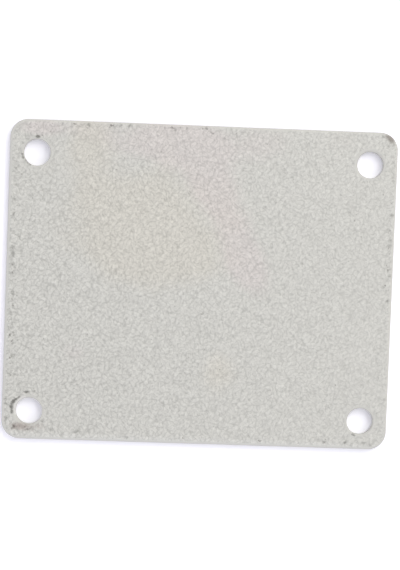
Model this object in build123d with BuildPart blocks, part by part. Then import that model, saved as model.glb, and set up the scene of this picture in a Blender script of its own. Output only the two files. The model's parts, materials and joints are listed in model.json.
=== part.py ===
"""Back cover of a sewing machine: a flat plate blanked from sheet metal, with a screw hole near each corner.

The frame has its origin in the middle of the back face, +X along the plate's width,
+Y up its height and +Z out of the painted outer face. All sizes are in millimetres.
"""

import os

from build123d import *

# Outline of the blank
plate_width = 74.0
plate_height = 61.0
sheet_thickness = 1.6
corner_radius = 3.5

# Clearance holes for the cover screws, placed by how far their centres are from the edges.
# The pattern sits a little below the middle of the plate.
hole_diameter = 5.0
hole_from_side = 5.2
hole_from_top = 6.3
hole_from_bottom = 5.4

# The press rolls the outer face's edges over and leaves the back face sharper
edge_roll = 0.6
hole_roll = 0.35
back_edge_break = 0.12

# Places that follow from the sizes above
hole_spacing_x = plate_width - 2 * hole_from_side
hole_spacing_y = plate_height - hole_from_top - hole_from_bottom
pattern_middle_y = (hole_from_bottom - hole_from_top) / 2

with BuildPart() as back_cover:
    # The blank with its four holes pierced
    with BuildSketch():
        RectangleRounded(plate_width, plate_height, corner_radius)
        with Locations((0, pattern_middle_y)):
            with GridLocations(hole_spacing_x, hole_spacing_y, 2, 2):
                Circle(hole_diameter / 2, mode=Mode.SUBTRACT)
    extrude(amount=sheet_thickness)

    # The outer face's rim is rolled over all round
    outer_face = back_cover.faces().sort_by(Axis.Z)[-1]
    fillet(outer_face.outer_wire().edges(), radius=edge_roll)

    # Each hole has a rounded mouth on the outer face
    outer_face = back_cover.faces().sort_by(Axis.Z)[-1]
    fillet(outer_face.inner_wires().edges(), radius=hole_roll)

    # On the back face the sharp corners left by the die are broken
    back_face = back_cover.faces().sort_by(Axis.Z)[0]
    chamfer(back_face.edges(), length=back_edge_break)

back_cover.part.label = "back_cover"

os.makedirs("parts", exist_ok=True)
export_step(back_cover.part, "parts/back_cover.step")
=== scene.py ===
import json
import math
import bpy
import numpy as np
from mathutils.geometry import tessellate_polygon
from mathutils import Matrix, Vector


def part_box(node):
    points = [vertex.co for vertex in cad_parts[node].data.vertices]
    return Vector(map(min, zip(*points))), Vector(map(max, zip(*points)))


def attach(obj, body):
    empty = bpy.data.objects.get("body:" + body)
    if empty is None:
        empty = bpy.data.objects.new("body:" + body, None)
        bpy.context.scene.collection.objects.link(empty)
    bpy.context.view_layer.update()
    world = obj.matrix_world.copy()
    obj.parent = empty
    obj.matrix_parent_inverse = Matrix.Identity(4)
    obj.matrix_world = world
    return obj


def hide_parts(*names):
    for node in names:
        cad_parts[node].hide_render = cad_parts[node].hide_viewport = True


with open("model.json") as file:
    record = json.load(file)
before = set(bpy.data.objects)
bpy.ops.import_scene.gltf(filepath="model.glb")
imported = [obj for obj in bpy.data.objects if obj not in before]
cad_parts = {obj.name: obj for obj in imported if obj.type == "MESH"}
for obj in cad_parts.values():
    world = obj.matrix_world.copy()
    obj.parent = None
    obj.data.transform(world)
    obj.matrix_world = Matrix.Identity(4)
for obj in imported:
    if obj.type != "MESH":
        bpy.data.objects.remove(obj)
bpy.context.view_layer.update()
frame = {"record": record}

mm = 0.001
leastLength = 1e-12  # keeps a division off nought

# What the frame says of the cover: its box and its screw holes
low, high = (np.array(corner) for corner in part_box("back_cover"))
holePattern = next(m for m in frame["record"]["mounts"] if m["name"] == "screw_holes")
patternMiddle = np.array(holePattern["pos_m"][:2])
patternStep = np.array([holePattern["dims"]["spacing_x_mm"], holePattern["dims"]["spacing_y_mm"]]) * mm
holeRadius = holePattern["dims"]["hole_r_mm"] * mm
print("frame loaded, plate", np.round((high - low) / mm, 2), "mm")


def smoothStep(t):
    # 3t^2 - 2t^3 with t held between 0 and 1
    t = np.clip(t, 0, 1)
    return t * t * (3 - 2 * t)


# The plate's form, in metres
plate = {
    "cornerRadius": 3.5 * mm,
    "edgeRoll": 0.6 * mm,
    "backBreak": 0.12 * mm,
    "rollSteps": 7,
    "gridStep": 0.235 * mm,
    # a square of grid lines round each hole, mouthSquare from its middle to each side, is bent into the
    # hole's round mouth, and the bending dies out at mouthReach from the middle
    "mouthSquare": 2.24 * mm,
    "mouthReach": 4.4 * mm,
    "squareMargin": 1.001,  # takes in the grid lines that lie on the square itself
    "cornerStill": 0.7 * mm,  # the grid inside a corner is straight this far past the arc's centre
}

# Each screw hole by side and end, with its mouth: the roll's mean width, by what share it is wider
# on its heavy side, and the direction of that side in degrees from +X
holes = {
    "upperLeft": {"side": -1, "end": 1, "roll": 0.30 * mm, "lean": 0.2, "heavyAt": 60},
    "upperRight": {"side": 1, "end": 1, "roll": 0.42 * mm, "lean": 0.5, "heavyAt": 135},
    "lowerLeft": {"side": -1, "end": -1, "roll": 0.48 * mm, "lean": 0.45, "heavyAt": 175},
    "lowerRight": {"side": 1, "end": -1, "roll": 0.34 * mm, "lean": 0.3, "heavyAt": 110},
}
for hole in holes.values():
    hole["at"] = patternMiddle + patternStep / 2 * np.array([hole["side"], hole["end"]])

# The wrinkle paint: furrows and ridges that wander like worm tracks, with a soft grain under them
wrinkle = {
    "height": 0.020 * mm,  # the deviation of the whole relief
    "linePeriod": 1.4 * mm,  # the length of the waves whose lines the furrows and ridges follow
    "lineSpread": 0.25,  # how far the lengths spread, as the deviation of their logarithm
    "furrowWidth": 0.45,  # in deviations of the waves
    "ridgeWidth": 0.4,
    "ridgeShare": 0.65,  # how strong the ridges and the grain are, where the furrows are 1
    "grainPeriod": 1.25 * mm,
    "grainSpread": 0.35,
    "grainShare": 0.65,
    "waves": 140,  # plane waves in each field
    "seed": 7,
    # the wrinkles die out on a roll where the sine of its turn is this: on the rim, with this much more
    # at the top and the right and less at the foot and the left, and in a mouth
    "rimReach": 0.45,
    "rimLean": 0.35,
    "holeReach": 0.1,
    # they come in round a mouth over this width, this share of which lies on its roll
    "mouthFade": 0.35 * mm,
    "mouthShare": 0.15,
    "sideLean": 0.12,  # how much deeper they are at the left edge and shallower at the right
}
# the deviation of furrows, ridges and grain added up, each with a deviation of 1 times its share
reliefDeviation = math.hypot(1, wrinkle["ridgeShare"], wrinkle["grainShare"])


def wavesOver(x, y, period, spread, rng):
    # a sum of plane waves in all directions, their lengths spread round one period, scaled to
    # a deviation of 1
    count = wrinkle["waves"]
    length = period * np.exp(rng.normal(0, spread, count))
    turn = rng.uniform(0, math.pi, count)
    phase = rng.uniform(0, 2 * math.pi, count)
    total = np.zeros_like(x)
    for k, a, p in zip(2 * math.pi / length, turn, phase):
        total += np.cos(k * (math.cos(a) * x + math.sin(a) * y) + p)
    return total * math.sqrt(2 / count)


def lineSpan(width):
    # the mean and deviation of exp(-(waves / width)^2) for waves of deviation 1
    mean = width / math.sqrt(width ** 2 + 2)
    return mean, math.sqrt(width / math.sqrt(width ** 2 + 4) - mean ** 2)


def linesOf(waves, width):
    # lines where the waves pass through nought, exp(-(waves / width)^2) with its mean taken off,
    # scaled to a deviation of 1
    mean, deviation = lineSpan(width)
    return (np.exp(-(waves / width) ** 2) - mean) / deviation


def reliefFrom(furrows, ridges, grain):
    # ridges less furrows, each along the lines of its own waves, plus the grain, scaled to a deviation of 1
    raised = wrinkle["ridgeShare"] * linesOf(ridges, wrinkle["ridgeWidth"])
    sunk = linesOf(furrows, wrinkle["furrowWidth"])
    return (raised - sunk + wrinkle["grainShare"] * grain) / reliefDeviation


def spacedLines(stops, step):
    # evenly spaced grid lines between each pair of stops, about one step apart
    spans = []
    for start, end in zip(stops[:-1], stops[1:]):
        count = max(1, round((end - start) / step))
        spans.append(np.linspace(start, end, count + 1)[:-1])
    return np.append(np.concatenate(spans), stops[-1])


def mouthRoll(hole, angle):
    # the roll's width round the mouth: roll * (1 + lean * cos(angle - heavy side))
    return hole["roll"] * (1 + hole["lean"] * np.cos(angle - math.radians(hole["heavyAt"])))


def beyondMouth(hole, points):
    # how far points lie outside the mouth of a hole, where its roll meets the flat
    spoke = points[:, :2] - hole["at"]
    roll = mouthRoll(hole, np.arctan2(spoke[:, 1], spoke[:, 0]))
    return np.linalg.norm(spoke, axis=1) - holeRadius - roll


def bentGrid():
    # the flat of the outer face: a grid of lines x by y whose corners are drawn in to the outline's arcs,
    # and whose square round each hole is drawn out to the round mouth
    half = (high[:2] - low[:2]) / 2 - plate["edgeRoll"]
    square = plate["mouthSquare"]
    lines = []
    for axis in (0, 1):
        stops = {-half[axis], half[axis]}
        for hole in holes.values():
            stops |= {hole["at"][axis] - square, hole["at"][axis] + square}
        lines.append(spacedLines(sorted(stops), plate["gridStep"]))
    x, y = np.meshgrid(*lines)
    bentX, bentY = x.copy(), y.copy()

    # corners: qx and qy are how far a point is past the arc's centre; its square ring becomes round
    arc = plate["cornerRadius"] - plate["edgeRoll"]
    qx = np.maximum(np.abs(x) - (half[0] - arc), 0)
    qy = np.maximum(np.abs(y) - (half[1] - arc), 0)
    ring, far = np.maximum(qx, qy), np.maximum(np.hypot(qx, qy), leastLength)
    pull = smoothStep((ring - plate["cornerStill"]) / (arc - plate["cornerStill"])) * (ring / far - 1)
    bentX += np.sign(x) * qx * pull
    bentY += np.sign(y) * qy * pull

    # holes: a square ring round a hole becomes the mouth's circle beside it and stays square far from it
    for hole in holes.values():
        dx, dy = x - hole["at"][0], y - hole["at"][1]
        ring = np.maximum(np.abs(dx), np.abs(dy))
        far = np.maximum(np.hypot(dx, dy), leastLength)
        mouth = holeRadius + mouthRoll(hole, np.arctan2(dy, dx))
        out = (ring - square) / (plate["mouthReach"] - square)
        circle = mouth + np.clip(out, 0, 1) * (plate["mouthReach"] - mouth)
        pull = np.where(ring < plate["mouthReach"], (1 - smoothStep(out)) * (circle / far - 1), 0)
        bentX += dx * pull
        bentY += dy * pull
    return x, y, bentX, bentY


class Surface:
    # gathers points and faces; each point has a normal, how wrinkled it is, and the sharp row it lies on
    def __init__(self):
        self.points, self.normals, self.wrinkled, self.sharpRow, self.faces = [], [], [], [], []
        self.count = 0

    def add(self, points, normals, wrinkled, sharpRow=0):
        self.points.append(points)
        self.normals.append(normals)
        self.wrinkled.append(wrinkled)
        self.sharpRow.append(np.full(len(points), sharpRow))
        self.count += len(points)
        return np.arange(self.count - len(points), self.count)


def flatOfFace(surface):
    # the bent grid without the cells inside the holes; gives back its points, and the loops round the
    # outline and the holes as numbers of points, anticlockwise
    x, y, bentX, bentY = bentGrid()
    midX, midY = (x[1:, 1:] + x[:-1, :-1]) / 2, (y[1:, 1:] + y[:-1, :-1]) / 2
    keep = np.ones(midX.shape, bool)
    for hole in holes.values():
        keep &= np.maximum(np.abs(midX - hole["at"][0]), np.abs(midY - hole["at"][1])) > plate["mouthSquare"]
    number = np.arange(x.size).reshape(x.shape)
    cells = np.stack([number[:-1, :-1], number[:-1, 1:], number[1:, 1:], number[1:, :-1]], -1)[keep]
    used = np.zeros(x.size, bool)
    used[cells.ravel()] = True
    renumber = np.where(used, np.cumsum(used) - 1, -1)
    number = renumber.reshape(x.shape)

    points = np.stack([bentX.ravel(), bentY.ravel(), np.full(x.size, high[2])], -1)[used]
    surface.add(points, np.tile([0.0, 0.0, 1.0], (len(points), 1)), np.ones(len(points)))
    surface.faces.append(renumber[cells])

    loops = [(ringOf(number, 0, x.shape[0] - 1, 0, x.shape[1] - 1), None)]
    edge = plate["mouthSquare"] * plate["squareMargin"]
    for hole in holes.values():
        columns = np.flatnonzero(np.abs(x[0] - hole["at"][0]) < edge)
        rows = np.flatnonzero(np.abs(y[:, 0] - hole["at"][1]) < edge)
        loops.append((ringOf(number, rows[0], rows[-1], columns[0], columns[-1]), hole))
    return points, loops


def ringOf(number, bottom, top, left, right):
    # the numbers of the points round a rectangle of the grid
    return np.concatenate([
        number[bottom, left:right], number[bottom:top, right],
        number[top, right:left:-1], number[top:bottom:-1, left],
    ])


def carryProfile(surface, loop, start, hole):
    # a profile carried round a loop: a quarter circle down from the flat, the straight wall and
    # the broken back edge
    if hole is None:
        half = (high[:2] - low[:2]) / 2 - plate["cornerRadius"]
        aside = np.sign(start[:, :2]) * np.maximum(np.abs(start[:, :2]) - half, 0)
        outward = aside / np.linalg.norm(aside, axis=1, keepdims=True)
        roll = np.full(len(loop), plate["edgeRoll"])
        reach = wrinkle["rimReach"] + wrinkle["rimLean"] * np.clip(outward.sum(1), -1, 1)
    else:
        spoke = start[:, :2] - hole["at"]
        outward = -spoke / np.linalg.norm(spoke, axis=1, keepdims=True)
        roll = mouthRoll(hole, np.arctan2(spoke[:, 1], spoke[:, 0]))
        reach = np.full(len(loop), wrinkle["holeReach"])

    previous = loop
    for turn in np.linspace(0, math.pi / 2, plate["rollSteps"] + 1)[1:]:
        height = high[2] - roll * (1 - math.cos(turn))
        row = surface.add(
            np.column_stack([start[:, :2] + outward * (roll * math.sin(turn))[:, None], height]),
            np.column_stack([outward * math.sin(turn), np.full(len(loop), math.cos(turn))]),
            smoothStep(1 - math.sin(turn) / reach),
        )
        joinRows(surface, previous, row, hole)
        previous = row

    level, slope = np.zeros(len(loop)), math.sqrt(0.5)
    wallFoot = surface.add(
        np.column_stack([start[:, :2] + outward * roll[:, None], level + plate["backBreak"]]),
        np.column_stack([outward, level]), level, 1,
    )
    joinRows(surface, previous, wallFoot, hole)
    backRim = surface.add(
        np.column_stack([start[:, :2] + outward * (roll - plate["backBreak"])[:, None], level]),
        np.column_stack([outward * slope, level - slope]), level, 2,
    )
    joinRows(surface, wallFoot, backRim, hole)
    return backRim


def joinRows(surface, upper, lower, hole):
    # a quad between each pair of neighbours on two rows; round a hole its corners are taken the other
    # way, so that it faces outwards
    quads = [upper, lower, np.roll(lower, -1), np.roll(upper, -1)]
    surface.faces.append(np.stack(quads if hole is None else quads[::-1], -1))


def fillBack(surface, loops):
    # the flat back: triangles between the outline's lowest row and those of the holes
    points = np.concatenate(surface.points)
    triangles = np.array(tessellate_polygon([[tuple(points[i]) for i in loop] for loop in loops]))
    triangles = np.concatenate(loops)[triangles]
    a, b, c = (points[triangles[:, i], :2] for i in range(3))
    anticlockwise = (b - a)[:, 0] * (c - a)[:, 1] > (b - a)[:, 1] * (c - a)[:, 0]
    triangles[anticlockwise] = triangles[anticlockwise][:, ::-1]
    surface.faces.append(triangles)


# Dirt, wear, tints and painted light, in millimetres and degrees on the plate. A spot is its middle, half
# length, half width, turn and strength; a fleck is a small round one, its middle and strength; an arc follows
# a hole, with its radius from the hole's middle, where it starts and ends, its half width and its strength.
fleckSize = 0.46
arcFade = 4  # how far past its ends an arc fades out
marks = {
    "grime": {
        "spots": [
            (-31.70, 27.22, 0.52, 0.31, -4, 1.25),
            (-33.55, 26.70, 0.28, 0.26, 0, 0.75),
            (-35.75, 21.10, 0.50, 0.28, -45, 0.7),
            (-32.40, -21.45, 0.60, 0.28, 0, 1.1),
            (-30.85, -21.30, 0.38, 0.24, 10, 0.75),
            (-34.70, -28.25, 0.80, 0.48, 0, 0.60),
            (-36.20, -23.90, 0.48, 0.28, 0, 0.7),
            (-31.90, -28.60, 0.60, 0.28, 5, 0.6),
            (-29.15, -26.90, 0.40, 0.32, 20, 0.7),
            (25.10, -29.30, 0.50, 0.30, -8, 0.80),
            (29.10, -29.20, 0.46, 0.36, 10, 0.85),
            (31.50, -29.25, 0.50, 0.28, 0, 0.55),
            (32.65, -29.25, 0.50, 0.30, 0, 0.75),
            (-22.40, -28.75, 0.85, 0.60, 0, 0.62),
            (-35.25, -12.20, 0.55, 0.40, 0, 0.50),
            (-35.30, -5.35, 0.50, 0.60, 0, 0.45),
            (-35.95, -6.40, 0.40, 0.50, 0, 0.60),
            (-35.87, 12.35, 0.30, 0.55, 0, 0.65),
            (34.90, -16.60, 0.30, 0.55, 0, 0.50),
        ],
        "flecks": [
            (-35.60, 17.85, 0.45), (-35.80, 15.20, 0.6), (-34.70, 8.15, 0.5), (-35.70, 8.80, 0.5),
            (-35.95, 6.20, 0.55), (-35.75, 4.80, 0.75), (-35.70, 2.85, 0.65), (-35.95, 1.10, 0.45),
            (-35.40, -2.55, 0.75), (-35.05, -7.90, 0.5), (-36.05, -9.30, 0.6), (-35.30, -10.15, 0.5),
            (-35.80, -10.95, 0.35), (-35.35, -14.65, 0.7), (-34.70, -18.20, 0.4), (-35.70, -18.20, 0.4),
            (-33.95, -19.90, 0.55), (-36.30, -22.85, 0.6), (-36.00, -26.40, 0.7), (-27.50, -28.55, 0.7),
            (-22.15, 29.75, 0.75), (-17.50, 29.50, 0.45), (-16.20, 29.85, 0.55), (-14.60, 29.85, 0.4),
            (-14.20, 29.90, 0.4), (-5.80, 29.55, 0.5), (0.15, 29.85, 0.65), (4.95, 29.90, 0.5),
            (3.55, 28.10, 0.5), (36.35, 14.80, 0.65), (36.20, 9.95, 0.55), (36.05, 8.75, 0.6),
            (36.20, 3.05, 0.5), (35.15, 1.00, 0.6), (36.15, -1.70, 0.65), (36.35, -20.80, 0.5),
            (34.85, 27.80, 0.5), (33.85, 29.75, 0.5), (34.00, -29.45, 0.5),
        ],
        "arcs": [
            ("upperLeft", 3.00, 168, 184, 0.26, 0.50),
            ("upperLeft", 2.78, 186, 206, 0.28, 0.85),
            ("upperLeft", 2.62, 212, 244, 0.24, 0.60),
            ("lowerLeft", 3.25, 123, 136, 0.26, 0.75),
            ("lowerLeft", 3.42, 138, 150, 0.34, 0.97),
            ("lowerLeft", 3.50, 150, 168, 0.36, 0.95),
            ("lowerLeft", 3.26, 168, 190, 0.32, 0.86),
            ("lowerRight", 2.86, 238, 254, 0.26, 0.8),
        ],
    },
    "stained": {
        "spots": [
            (-32.9, -28.10, 1.85, 0.92, 2, 0.95),
            (-29.6, -28.0, 2.0, 0.9, 12, 0.5),
            (-34.6, -27.9, 1.1, 0.9, 20, 0.45),
        ],
    },
    "worn": {
        "spots": [
            (35.50, 29.30, 0.90, 0.62, -50, 1.0),
            (34.80, 29.75, 1.30, 0.80, -30, 0.50),
            (35.95, 28.10, 1.20, 0.80, -85, 0.30),
            (36.15, 25.70, 1.10, 0.40, 90, 0.45),
            (36.10, 21.40, 1.30, 0.45, 90, 0.5),
            (36.20, 18.20, 0.80, 0.35, 90, 0.35),
        ],
    },
    # fine dark specks strewn along the edges
    "specked": {
        "spots": [
            (-35.60, -6.0, 21.0, 0.80, 90, 0.90),
            (-13.0, 29.8, 19.0, 0.50, 0, 0.80),
            (35.95, 4.0, 17.0, 0.50, 90, 0.50),
            (12.0, -29.4, 26.0, 0.50, 0, 0.40),
            (-32.0, -28.3, 3.2, 0.8, 0, 0.55),
        ],
    },
    # broad tints of the ageing paint: creamy here, rosy at the end of this list
    "creamy": {
        "spots": [
            (-12.5, 11.5, 14.0, 10.0, 0, 1.4),
            (-3.0, 5.5, 8.0, 6.0, 0, 0.8),
            (-22.0, 25.5, 4.5, 6.5, 0, 0.9),
            (3.8, -16.0, 4.5, 4.5, 0, 0.8),
        ],
    },
    # painted light along the lower edge: the rolled rim is drawn paler and bluer there, as light bounced up
    # from the floor catches it
    "litLowerRim": {"spots": [(0.0, -29.85, 60.0, 0.60, 0, 1.0)]},
    # and paler still on the lip of the lower left hole: a painted highlight where its rounded mouth turns to
    # the light, with the paint there rubbed lighter as well
    "rubbedAndLitLip": {
        "arcs": [("lowerLeft", 2.72, 106, 166, 0.34, 1.3), ("lowerLeft", 2.56, 172, 196, 0.26, 1.1)],
    },
    "rosy": {
        "spots": [
            (-4.0, 27.0, 15.0, 4.0, 0, 1.3),
            (0.9, 19.5, 6.0, 4.0, -65, 1.1),
            (8.4, 5.0, 10.0, 4.2, -62, 1.2),
            (-31.0, 29.0, 5.0, 1.6, 0, 1.2),
            (-23.5, -13.5, 3.5, 2.8, 0, 0.6),
        ],
    },
}
# Where the wrinkles are shallower: a spot's strength is the share of their height that goes
calmPlaces = {"spots": [(-27.5, 21.7, 9.0, 6.0, 0, 0.22), (32.0, -15.0, 14.0, 6.0, 90, 0.13)]}


def markOver(points, mark):
    # a sum of soft spots exp(-(u/length)^2 - (v/width)^2) along turned axes, of flecks
    # exp(-(distance/fleckSize)^2), and of arcs that are exp(-((distance - radius)/width)^2) across
    total = np.zeros(len(points))
    for x, y, length, width, turn, strength in mark.get("spots", []):
        dx, dy = points[:, 0] / mm - x, points[:, 1] / mm - y
        c, s = math.cos(math.radians(turn)), math.sin(math.radians(turn))
        total += strength * np.exp(-((dx * c + dy * s) / length) ** 2 - ((dy * c - dx * s) / width) ** 2)
    for x, y, strength in mark.get("flecks", []):
        total += strength * np.exp(-(np.hypot(points[:, 0] / mm - x, points[:, 1] / mm - y) / fleckSize) ** 2)
    for name, radius, start, end, width, strength in mark.get("arcs", []):
        spoke = (points[:, :2] - holes[name]["at"]) / mm
        across = np.exp(-((np.linalg.norm(spoke, axis=1) - radius) / width) ** 2)
        angle = np.degrees(np.arctan2(spoke[:, 1], spoke[:, 0])) % 360
        along = smoothStep((angle - start) / arcFade + 1) * smoothStep((end - angle) / arcFade + 1)
        total += strength * across * along
    return total


def coverMesh():
    # the face, its rolled rim and mouths, the walls and the back, closed, with the relief raised along
    # the normals, and with the fields that the paint reads as attributes
    surface = Surface()
    flat, loops = flatOfFace(surface)
    fillBack(surface, [carryProfile(surface, loop, flat[loop], hole) for loop, hole in loops])
    points, normals = np.concatenate(surface.points), np.concatenate(surface.normals)
    wrinkled = np.concatenate(surface.wrinkled)

    # the paint draws smooth beside each mouth, and its wrinkles are a little shallower towards the right
    for hole in holes.values():
        beyond = beyondMouth(hole, points) / wrinkle["mouthFade"]
        wrinkled *= smoothStep(beyond + wrinkle["mouthShare"])
    wrinkled *= 1 - wrinkle["sideLean"] * points[:, 0] / high[0]
    wrinkled *= 1 - markOver(points, calmPlaces)
    # dirt, wear and painted light lie on the outer face and its rolled rim, not on the back
    outer = points[:, 2] > high[2] / 2
    rng = np.random.default_rng(wrinkle["seed"])
    x, y = points[:, 0], points[:, 1]
    fields = {
        "furrows": wavesOver(x, y, wrinkle["linePeriod"], wrinkle["lineSpread"], rng),
        "grain": wavesOver(x, y, wrinkle["grainPeriod"], wrinkle["grainSpread"], rng),
        "ridges": wavesOver(x, y, wrinkle["linePeriod"], wrinkle["lineSpread"], rng),
        "wrinkled": wrinkled,
        **{name: markOver(points, mark) * outer for name, mark in marks.items()},
    }
    relief = reliefFrom(fields["furrows"], fields["ridges"], fields["grain"])
    raised = relief * wrinkled * wrinkle["height"]
    points = points + normals * raised[:, None]

    quads = np.concatenate([f for f in surface.faces if f.shape[1] == 4])
    triangles = np.concatenate([f for f in surface.faces if f.shape[1] == 3])
    mesh = bpy.data.meshes.new("cover_plate")
    mesh.vertices.add(len(points))
    mesh.vertices.foreach_set("co", points.ravel().astype(np.float32))
    corners = np.concatenate([quads.ravel(), triangles.ravel()])
    mesh.loops.add(len(corners))
    mesh.loops.foreach_set("vertex_index", corners.astype(np.int32))
    starts = np.concatenate([np.arange(len(quads)) * 4, len(quads) * 4 + np.arange(len(triangles)) * 3])
    mesh.polygons.add(len(starts))
    mesh.polygons.foreach_set("loop_start", starts.astype(np.int32))
    mesh.update(calc_edges=True)
    mesh.validate()
    mesh.polygons.foreach_set("use_smooth", np.ones(len(starts), bool))
    keepBackSharp(mesh, np.concatenate(surface.sharpRow))
    for name, values in fields.items():
        mesh.attributes.new(name, "FLOAT", "POINT").data.foreach_set("value", values.astype(np.float32))
    print("cover plate:", len(points), "points,", 2 * len(quads) + len(triangles), "triangles")
    return mesh


def keepBackSharp(mesh, sharpRow):
    # an edge is sharp where both its ends lie on the same sharp row
    ends = np.empty(2 * len(mesh.edges), np.int32)
    mesh.edges.foreach_get("vertices", ends)
    rows = sharpRow[ends.reshape(-1, 2)]
    mesh.edges.foreach_set("use_edge_sharp", (rows[:, 0] == rows[:, 1]) & (rows[:, 0] > 0))


class Nodes:
    # short ways to write the nodes of a material or a world; a value may be a number, a colour or
    # another node's socket
    def __init__(self, owner):
        owner.use_nodes = True
        self.tree = owner.node_tree
        self.tree.nodes.clear()

    def node(self, kind, values=(), **settings):
        made = self.tree.nodes.new(kind)
        for key, value in settings.items():
            setattr(made, key, value)
        for key, value in dict(values).items():
            if isinstance(value, bpy.types.NodeSocket):
                self.tree.links.new(value, made.inputs[key])
            else:
                made.inputs[key].default_value = value
        return made

    def maths(self, operation, *values, clamp=False):
        made = self.node("ShaderNodeMath", enumerate(values), operation=operation, use_clamp=clamp)
        return made.outputs[0]

    def attribute(self, name):
        return self.node("ShaderNodeAttribute", attribute_name=name).outputs["Fac"]

    def noise(self, size, detail, offset):
        # noise about nought, with lumps about this many metres across, on Object coordinates
        place = self.node("ShaderNodeTexCoord").outputs["Object"]
        moved = self.node("ShaderNodeMapping", {"Vector": place, "Location": (offset, offset, 0)}).outputs[0]
        made = self.node("ShaderNodeTexNoise", {"Vector": moved, "Scale": 1 / size, "Detail": detail})
        return self.maths("SUBTRACT", made.outputs["Fac"], 0.5)

    def ramp(self, value, start, end):
        # from 0 where the value is start to 1 where it is end, along smoothStep's curve
        values = {"Value": value, "From Min": start, "From Max": end}
        return self.node("ShaderNodeMapRange", values, interpolation_type="SMOOTHSTEP").outputs["Result"]

    def mix(self, factor, a, b, blend="MIX"):
        # a and b are colours; a colour mix has its factor at input 0, a and b at 6 and 7, its result at 2
        made = self.node("ShaderNodeMix", data_type="RGBA", blend_type=blend)
        for socket, value in zip([made.inputs[0], made.inputs[6], made.inputs[7]], [factor, a, b]):
            if isinstance(value, bpy.types.NodeSocket):
                self.tree.links.new(value, socket)
            else:
                socket.default_value = value if isinstance(value, float) else (*value, 1)
        return made.outputs[2]

    def seenOrMirrored(self):
        # 1 for rays from the camera and for those that metal or glass sends on, 0 for light that falls
        # on things
        path = self.node("ShaderNodeLightPath").outputs
        mirrored = self.maths("MAXIMUM", path["Is Glossy Ray"], path["Is Transmission Ray"])
        return self.maths("MAXIMUM", path["Is Camera Ray"], mirrored)


# The paint's linear colours and how the relief tones it. The dark furrow colour is painted shade in furrows
# too fine for the mesh to shade, with some dirt settled in them, and the light ridge colour is painted
# light on the ridge tops
paint = {
    "furrow": (0.433, 0.429, 0.415),
    "ridge": (0.791, 0.782, 0.756),
    "toneSpan": 3.5,  # how many deviations of relief lie between the middle tone and each colour
    "smoothLift": 0.25,  # how much paler smooth paint is than the middle tone, in deviations
    "fineShare": 0.55,  # how strong the fine noise is beside the relief
    "noiseDeviation": 0.125,  # of a noise about nought
    "roughness": 0.52,
    "roughnessSpan": 0.12,  # how much rougher a furrow is than a ridge
    "bumpShare": 0.35,  # the bump's height as a share of the relief's
    "ior": 1.45,
}
# The size of each noise's lumps, its detail, and how far it is moved so that no two agree, in metres
noises = {
    "fine": {"size": 0.33 * mm, "detail": 1.0, "offset": 0.0},
    "drift": {"size": 11 * mm, "detail": 1.0, "offset": 0.031},
    "ragged": {"size": 0.36 * mm, "detail": 2.0, "offset": 0.017},
    "speck": {"size": 0.75 * mm, "detail": 2.0, "offset": 0.023},
}
# What the marks do to the paint: the noise that makes their rims ragged and how much of it they get,
# between which strengths they come in, and the tint that multiplies the colour
tints = {
    "creamy": {"noise": "drift", "gain": 1.2, "from": 0.2, "to": 0.95, "tint": (1.018, 0.998, 0.967)},
    "rosy": {"noise": "drift", "gain": 1.2, "from": 0.2, "to": 0.95, "tint": (1.030, 0.986, 1.006)},
    # painted light on the lower rim, paler and bluer
    "litLowerRim": {"noise": "ragged", "gain": 0.5, "from": 0.0, "to": 1.0, "tint": (1.055, 1.058, 1.072)},
    # a painted highlight on the lower left hole's lip, partly paint rubbed lighter
    "rubbedAndLitLip": {"noise": "ragged", "gain": 0.3, "from": 0.0, "to": 1.1, "tint": (1.18, 1.175, 1.20)},
    "stained": {"noise": "ragged", "gain": 1.0, "from": 0.15, "to": 1.1, "tint": (0.69, 0.625, 0.615)},
    "worn": {"noise": "ragged", "gain": 0.9, "from": 0.15, "to": 1.2, "tint": (0.50, 0.465, 0.45)},
    "specked": {"noise": "speck", "gain": 6.0, "from": 1.1, "to": 2.0, "tint": (0.47, 0.46, 0.45)},
    "grime": {"noise": "ragged", "gain": 1.0, "from": 0.12, "to": 1.05, "tint": (0.33, 0.33, 0.32)},
}


def linesBy(p, name, width):
    # the lines that linesOf gives, in nodes
    mean, deviation = lineSpan(width)
    waves = p.maths("DIVIDE", p.attribute(name), width)
    lines = p.maths("EXPONENT", p.maths("MULTIPLY", p.maths("MULTIPLY", waves, waves), -1.0))
    return p.maths("MULTIPLY_ADD", lines, 1 / deviation, -mean / deviation)


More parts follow.
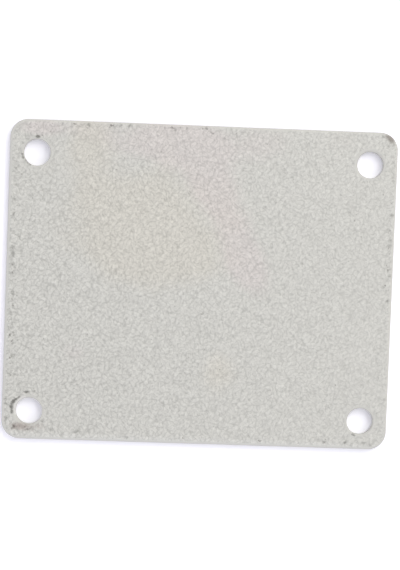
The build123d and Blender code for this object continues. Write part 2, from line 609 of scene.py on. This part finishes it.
def wrinklePaint():
    material = bpy.data.materials.new("textured_paint")
    p = Nodes(material)
    noise = {name: p.noise(**values) for name, values in noises.items()}
    # the same relief as the mesh has, worked out again here so that its lines are crisp
    ridges = p.maths("MULTIPLY", linesBy(p, "ridges", wrinkle["ridgeWidth"]), wrinkle["ridgeShare"])
    lines = p.maths("SUBTRACT", ridges, linesBy(p, "furrows", wrinkle["furrowWidth"]))
    coarse = p.maths("MULTIPLY_ADD", p.attribute("grain"), wrinkle["grainShare"], lines)
    fineGain = paint["fineShare"] / paint["noiseDeviation"] * reliefDeviation
    relief = p.maths("MULTIPLY_ADD", noise["fine"], fineGain, coarse)
    relief = p.maths("DIVIDE", relief, reliefDeviation * math.hypot(1, paint["fineShare"]))
    wrinkled = p.attribute("wrinkled")
    lift = p.maths("MULTIPLY_ADD", wrinkled, -paint["smoothLift"], paint["smoothLift"])
    relief = p.maths("MULTIPLY_ADD", relief, wrinkled, lift)
    # painted shade in the furrows, with some dirt there, and painted light on the ridges: the tone runs from
    # the furrow colour to the ridge colour with the relief
    tone = p.maths("MULTIPLY_ADD", relief, 1 / (2 * paint["toneSpan"]), 0.5, clamp=True)
    color = p.mix(tone, paint["furrow"], paint["ridge"])

    # broad tints, stains, wear, dirt and painted light: each mark's strength is roughened by noise and tints
    # the paint
    for name, mark in tints.items():
        strength = p.maths("MULTIPLY_ADD", noise[mark["noise"]], mark["gain"], p.attribute(name))
        tinted = p.mix(1.0, color, mark["tint"], "MULTIPLY")
        color = p.mix(p.ramp(strength, mark["from"], mark["to"]), color, tinted)

    span = paint["roughnessSpan"]
    roughness = p.maths("MULTIPLY_ADD", tone, -span, paint["roughness"] + span / 2)
    depth = paint["bumpShare"] * wrinkle["height"]
    bump = p.node("ShaderNodeBump", {"Height": relief, "Distance": depth, "Strength": 1.0})
    shader = p.node("ShaderNodeBsdfPrincipled", {
        "Base Color": color, "Roughness": roughness, "Normal": bump.outputs[0], "IOR": paint["ior"],
    })
    p.node("ShaderNodeOutputMaterial", {"Surface": shader.outputs[0]})
    return material


# The floor, the lamps round the plate and the sky: directions in degrees, sizes in metres, power in watts
floor = {
    "halfSize": 1.5,
    "below": 0.01 * mm,  # a hair under the plate's back
    "seen": (1.235, 1.231, 1.33),
    "lit": (0.85, 0.85, 0.85),
    # between these distances from the plate's middle the floor turns plain white
    "whiteFrom": 0.10,
    "whiteTo": 0.25,
}
lamps = {
    "window": {"azimuth": 54, "elevation": 41, "size": 0.62, "power": 3.2, "color": (1, 0.998, 0.90)},
    "side": {"azimuth": 320, "elevation": 40, "size": 0.38, "power": 0.88, "color": (1, 0.998, 0.96)},
    "bounce": {"azimuth": 190, "elevation": 15, "size": 0.38, "power": 1.53, "color": (0.99, 0.986, 1)},
    "front": {"azimuth": 265, "elevation": 8, "size": 0.18, "power": 0.66, "color": (0.94, 0.94, 1)},
}
lampDistance = 0.75
sky = {"color": (0.972, 0.967, 1.0), "strength": 0.512}
# The camera's lens and sensor are in millimetres, and it sees what is further off than nearest, in metres
camera = {
    "at": (-11.74 * mm, 14.86 * mm, 300.0 * mm),
    "turn": (-2.904, -2.151, 2.140),
    "lens": 98.88,
    "sensor": 36,
    "nearest": 0.01,
}


def floorMaterial():
    # a white that burns out in the picture where nothing shades it, turns plain white further off, and is
    # plain white paper to the rays that light things
    material = bpy.data.materials.new("white_floor")
    p = Nodes(material)
    lit = p.node("ShaderNodeBsdfDiffuse", {"Color": (*floor["lit"], 1)}).outputs[0]
    near = p.node("ShaderNodeBsdfDiffuse", {"Color": (*floor["seen"], 1)}).outputs[0]
    white = p.node("ShaderNodeEmission", {"Color": (1, 1, 1, 1)}).outputs[0]
    place = p.node("ShaderNodeTexCoord").outputs["Object"]
    away = p.node("ShaderNodeVectorMath", {0: place}, operation="LENGTH").outputs["Value"]
    far = p.ramp(away, floor["whiteFrom"], floor["whiteTo"])
    seen = p.node("ShaderNodeMixShader", {0: far, 1: near, 2: white}).outputs[0]
    both = p.node("ShaderNodeMixShader", {0: p.seenOrMirrored(), 1: lit, 2: seen}).outputs[0]
    p.node("ShaderNodeOutputMaterial", {"Surface": both})
    return material


def buildStage():
    size = floor["halfSize"]
    mesh = bpy.data.meshes.new("floor")
    corners = [(-size, -size, 0), (size, -size, 0), (size, size, 0), (-size, size, 0)]
    mesh.from_pydata(corners, [], [(0, 1, 2, 3)])
    mesh.materials.append(floorMaterial())
    ground = bpy.data.objects.new("floor", mesh)
    ground.location.z = -floor["below"]
    bpy.context.scene.collection.objects.link(ground)


def placeLamp(name, lamp):
    # a square lamp on a sphere round the origin, turned to face it
    data = bpy.data.lights.new(name, "AREA")
    data.shape = "SQUARE"
    data.size = lamp["size"]
    data.energy = lamp["power"]
    data.color = lamp["color"]
    light = bpy.data.objects.new(name, data)
    azimuth, elevation = math.radians(lamp["azimuth"]), math.radians(lamp["elevation"])
    across, up = lampDistance * math.cos(elevation), lampDistance * math.sin(elevation)
    light.location = (across * math.cos(azimuth), across * math.sin(azimuth), up)
    light.rotation_euler = (math.pi / 2 - elevation, 0, azimuth + math.pi / 2)
    light.visible_camera = False
    bpy.context.scene.collection.objects.link(light)


def buildSky():
    world = bpy.data.worlds.new("sky")
    bpy.context.scene.world = world
    p = Nodes(world)
    glow = {"Color": (*sky["color"], 1), "Strength": sky["strength"]}
    lit = p.node("ShaderNodeBackground", glow).outputs[0]
    seen = p.node("ShaderNodeBackground", {"Color": (1, 1, 1, 1)}).outputs[0]
    both = p.node("ShaderNodeMixShader", {0: p.seenOrMirrored(), 1: lit, 2: seen}).outputs[0]
    p.node("ShaderNodeOutputWorld", {"Surface": both})


def placeCamera():
    data = bpy.data.cameras.new("camera")
    data.lens = camera["lens"]
    data.sensor_width = camera["sensor"]
    data.clip_start = camera["nearest"]
    eye = bpy.data.objects.new("camera", data)
    eye.location = camera["at"]
    eye.rotation_euler = [math.radians(a) for a in camera["turn"]]
    bpy.context.scene.collection.objects.link(eye)
    bpy.context.scene.camera = eye


cover = bpy.data.objects.new("cover_plate", coverMesh())
cover.data.materials.append(wrinklePaint())
bpy.context.scene.collection.objects.link(cover)
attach(cover, "root")
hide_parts("back_cover")
print("cover painted")

buildStage()
for name, lamp in lamps.items():
    placeLamp(name, lamp)
buildSky()
placeCamera()
bpy.context.scene.view_settings.view_transform = "Standard"
print("floor, lamps, sky and camera placed")
